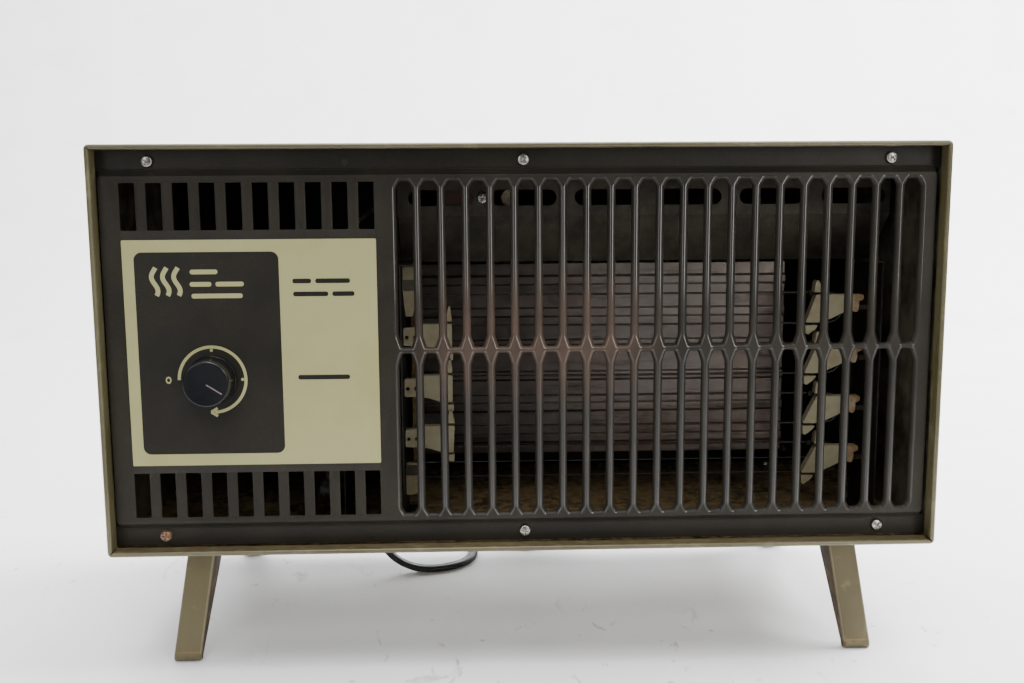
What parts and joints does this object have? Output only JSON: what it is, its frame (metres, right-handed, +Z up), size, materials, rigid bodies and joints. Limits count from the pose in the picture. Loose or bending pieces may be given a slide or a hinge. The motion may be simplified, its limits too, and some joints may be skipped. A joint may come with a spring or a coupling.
{
  "type": "portable fan heater",
  "caption": "Free-standing fan-forced electric heater: steel case on splayed legs, slotted front over ribbon elements on ceramic insulators, thermostat knob and mains cord.",
  "frame": {"origin": "on the floor, under the middle of the box round the case, legs and knob", "axes": "+X to the right as the face is seen, +Y from the face to the back, +Z up"},
  "size_m": [0.4572, 0.3052, 0.2882],
  "materials": {
    "case_paint": "semi-gloss baked olive enamel",
    "panel_paint": "satin dark brown enamel, heat-stained round the grille",
    "label_ink": "silk-screened cream and dark brown",
    "zinc_hardware": "bright zinc plate",
    "inner_steel": "dark, dusty mill finish",
    "reflector_steel": "galvanized, heat-tinted",
    "insulator_ceramic": "unglazed fired clay",
    "element_ribbon": "oxidised nichrome",
    "knob_plastic": "glossy moulded black",
    "cord_fitting_plastic": "moulded black",
    "switch_bakelite": "moulded brown bakelite",
    "motor_winding": "varnished copper wire",
    "motor_aluminium": "plain",
    "shaft_steel": "ground",
    "lead_sleeve": "woven glass sleeving",
    "cord_jacket": "flat twin heater cord"
  },
  "bodies": {
    "cabinet": {"case_wrapper": "case_paint", "front_panel": "panel_paint", "back_panel": "panel_paint", "control_label": "label_ink", "front_screw_1": "zinc_hardware", "front_screw_2": "zinc_hardware", "front_screw_3": "zinc_hardware", "front_screw_4": "zinc_hardware", "front_screw_5": "zinc_hardware", "front_screw_6": "zinc_hardware", "back_screw_1": "zinc_hardware", "back_screw_2": "zinc_hardware", "back_screw_3": "zinc_hardware", "back_screw_4": "zinc_hardware", "leg_front_left": "case_paint", "leg_front_right": "case_paint", "leg_rear_left": "case_paint", "leg_rear_right": "case_paint", "leg_screw_front_left": "zinc_hardware", "leg_screw_front_right": "zinc_hardware", "leg_screw_rear_left": "zinc_hardware", "leg_screw_rear_right": "zinc_hardware", "chamber_partition": "inner_steel", "upper_baffle": "inner_steel", "reflector": "reflector_steel", "element_bracket_left": "inner_steel", "element_bracket_right": "inner_steel", "insulator_right_1": "insulator_ceramic", "insulator_right_2": "insulator_ceramic", "insulator_right_3": "insulator_ceramic", "insulator_right_4": "insulator_ceramic", "insulator_left_1": "insulator_ceramic", "insulator_left_2": "insulator_ceramic", "insulator_left_3": "insulator_ceramic", "insulator_left_4": "insulator_ceramic", "insulator_left_5": "insulator_ceramic", "heating_ribbon": "element_ribbon", "thermostat_body": "switch_bakelite", "thermostat_nut": "zinc_hardware", "limit_switch": "switch_bakelite", "limit_switch_screw": "zinc_hardware", "wire_joint": "lead_sleeve", "tip_switch_frame": "inner_steel", "motor_stator": "inner_steel", "motor_coil": "motor_winding", "motor_front_bridge": "motor_aluminium", "motor_rear_bridge": "motor_aluminium", "motor_strap": "inner_steel", "lead_thermostat": "lead_sleeve", "lead_limit": "lead_sleeve", "strain_relief": "cord_fitting_plastic", "power_cord": "cord_jacket", "cord_coil": "cord_jacket", "cord_tail": "cord_jacket", "cord_plug": "cord_fitting_plastic"},
    "thermostat_dial": {"thermostat_knob": "knob_plastic", "thermostat_shaft": "shaft_steel"},
    "fan": {"motor_rotor": "shaft_steel", "fan_blade": "motor_aluminium"},
    "tip_arm": {"tip_pendulum": "zinc_hardware"}
  },
  "joints": [
    {"name": "thermostat_turn", "type": "hinge", "parent": "cabinet", "child": "thermostat_dial", "pos_m": [-0.169, -0.09755, 0.1628], "axis": [0, 1, 0], "range_deg": [-212.6, 57.4]},
    {"name": "fan_spin", "type": "hinge", "parent": "cabinet", "child": "fan", "pos_m": [0.05, 0.01745, 0.166], "axis": [0, 1, 0], "continuous": true},
    {"name": "tip_swing", "type": "hinge", "parent": "cabinet", "child": "tip_arm", "pos_m": [-0.116, -0.03155, 0.112], "axis": [1, 0, 0], "range_deg": [-25, 25]}
  ]
}
